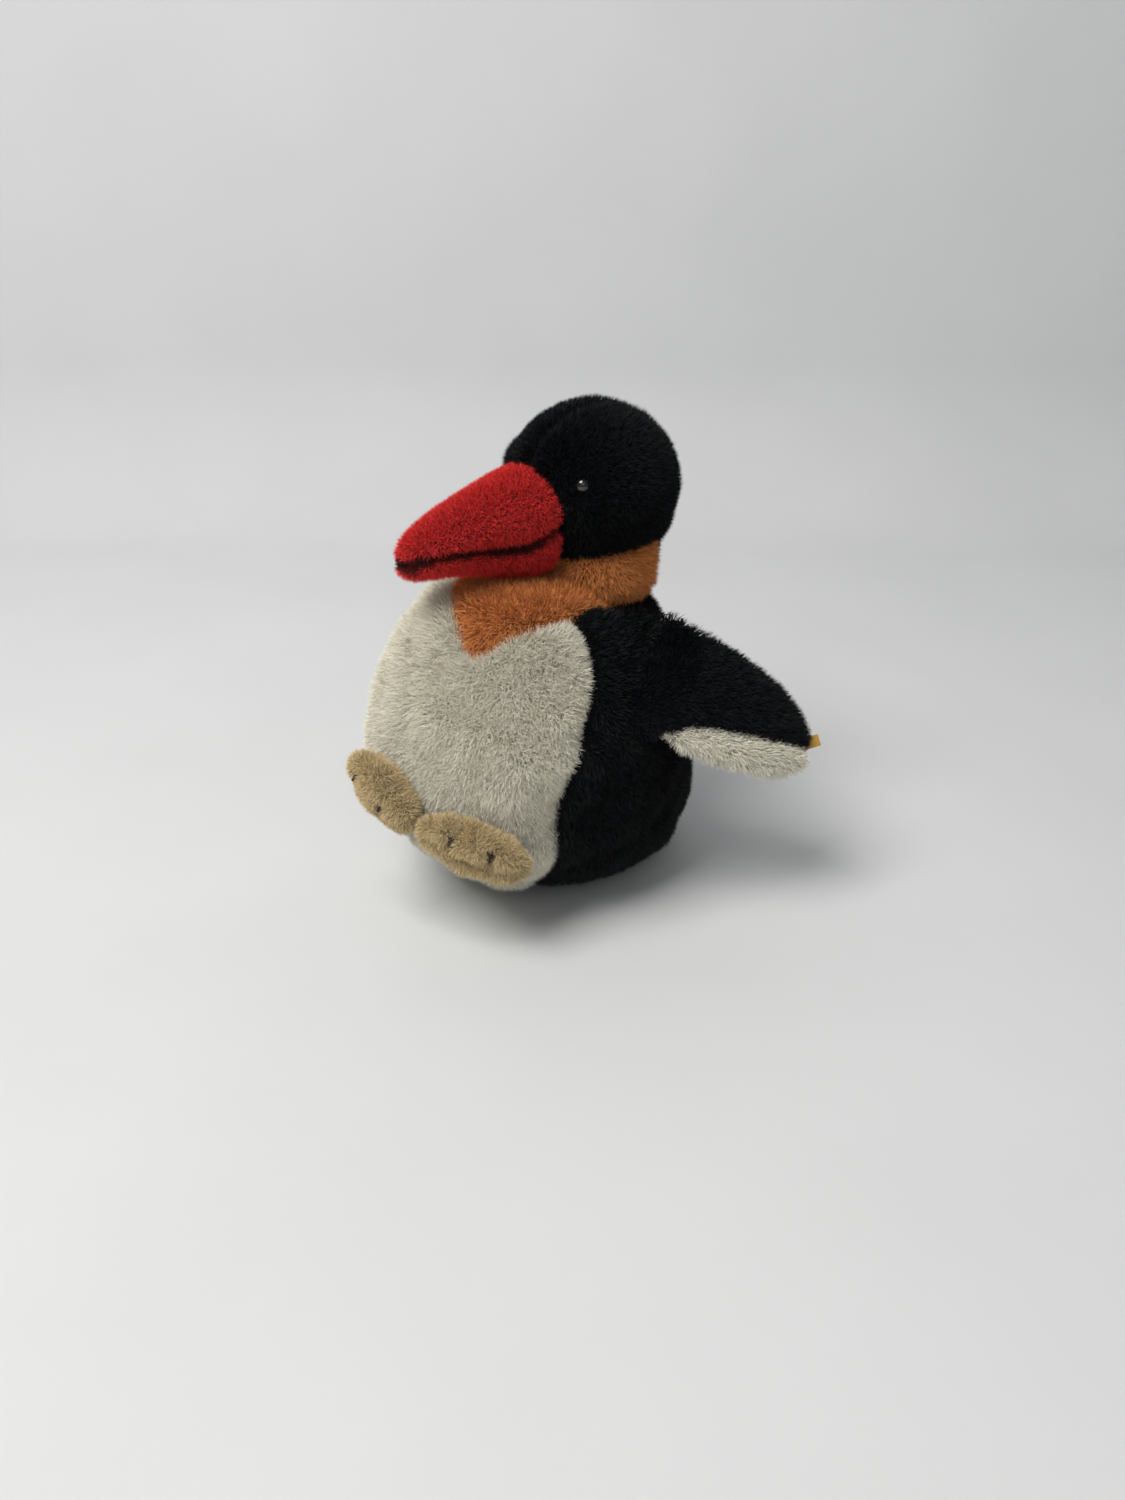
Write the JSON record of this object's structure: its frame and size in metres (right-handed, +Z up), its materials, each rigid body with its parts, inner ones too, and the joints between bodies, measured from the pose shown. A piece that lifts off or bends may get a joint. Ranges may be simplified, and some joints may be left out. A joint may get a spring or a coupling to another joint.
{
  "type": "plush penguin",
  "caption": "Stuffed plush penguin with a big round belly, turned head, long curved beak, flared wings and two soft feet, standing on a flat weighted base.",
  "frame": {"origin": "centre of the flat base face that the toy stands on", "axes": "+Z up, -Y is the way the belly faces, +X is the penguin's left side"},
  "size_m": [0.1638, 0.1307, 0.1636],
  "materials": {
    "black_plush": "short dense pile, slightly glossy",
    "white_plush": "longer off-white pile, slightly clumped",
    "orange_plush": "short airbrushed orange pile",
    "red_plush": "short dense red pile",
    "beige_plush": "short beige pile",
    "base_cloth": "short black pile",
    "fibre_filling": "loose polyester fibre",
    "bag_cloth": "plain woven cotton",
    "pellets": "loose pellets",
    "joint_plastic": "moulded, satin",
    "eye_black": "polished",
    "dark_thread": "twisted thread",
    "ochre_ribbon": "woven ribbon, folded"
  },
  "bodies": {
    "torso": {"base_panel": "base_cloth", "belly_panel": "white_plush", "throat_bib": "orange_plush", "back_panel_left": "black_plush", "back_panel_right": "black_plush", "body_stuffing": "fibre_filling", "pellet_bag": "bag_cloth", "pellets": "pellets", "neck_washer": "joint_plastic"},
    "head": {"hood_left": "black_plush", "hood_right": "black_plush", "cheek_band": "orange_plush", "head_stuffing": "fibre_filling", "beak_upper": "red_plush", "beak_lower": "red_plush", "beak_stuffing": "fibre_filling", "eye_left": "eye_black", "eye_right": "eye_black", "eye_washer_left": "joint_plastic", "eye_washer_right": "joint_plastic", "neck_stem_disc": "joint_plastic", "neck_lock_ring": "joint_plastic"},
    "wing_left": {"wing_left_outer": "black_plush", "wing_left_lining": "white_plush", "wing_left_stuffing": "fibre_filling", "ribbon_tab": "ochre_ribbon"},
    "wing_right": {"wing_right_outer": "black_plush", "wing_right_lining": "white_plush", "wing_right_stuffing": "fibre_filling"},
    "foot_left": {"foot_left_top": "beige_plush", "foot_left_sole": "beige_plush", "foot_left_stuffing": "fibre_filling", "foot_left_toe_stitches": "dark_thread"},
    "foot_right": {"foot_right_top": "beige_plush", "foot_right_sole": "beige_plush", "foot_right_stuffing": "fibre_filling", "foot_right_toe_stitches": "dark_thread"}
  },
  "joints": [
    {"name": "neck_swivel", "type": "hinge", "parent": "torso", "child": "head", "pos_m": [0, 0.002, 0.098], "axis": [0, 0, 1], "range_deg": [-50, 50]},
    {"name": "wing_left_flap", "type": "hinge", "parent": "torso", "child": "wing_left", "pos_m": [0.0505, -0.01, 0.0855], "axis": [-0.291, 0.6889, 0.6639], "range_deg": [-45, 15], "stiffness_Nm_per_rad": 0.02},
    {"name": "wing_right_flap", "type": "hinge", "parent": "torso", "child": "wing_right", "pos_m": [-0.0505, -0.01, 0.0855], "axis": [0.291, 0.6889, 0.6639], "range_deg": [-15, 45], "stiffness_Nm_per_rad": 0.02},
    {"name": "foot_left_flex", "type": "hinge", "parent": "torso", "child": "foot_left", "pos_m": [0.02752, -0.07584, 0.039], "axis": [0.7955, 0.5266, -0.2998], "range_deg": [-5, 10], "stiffness_Nm_per_rad": 0.01},
    {"name": "foot_right_flex", "type": "hinge", "parent": "torso", "child": "foot_right", "pos_m": [-0.00306, -0.08671, 0.05], "axis": [0.8536, 0.084, -0.5141], "range_deg": [-5, 10], "stiffness_Nm_per_rad": 0.01}
  ]
}
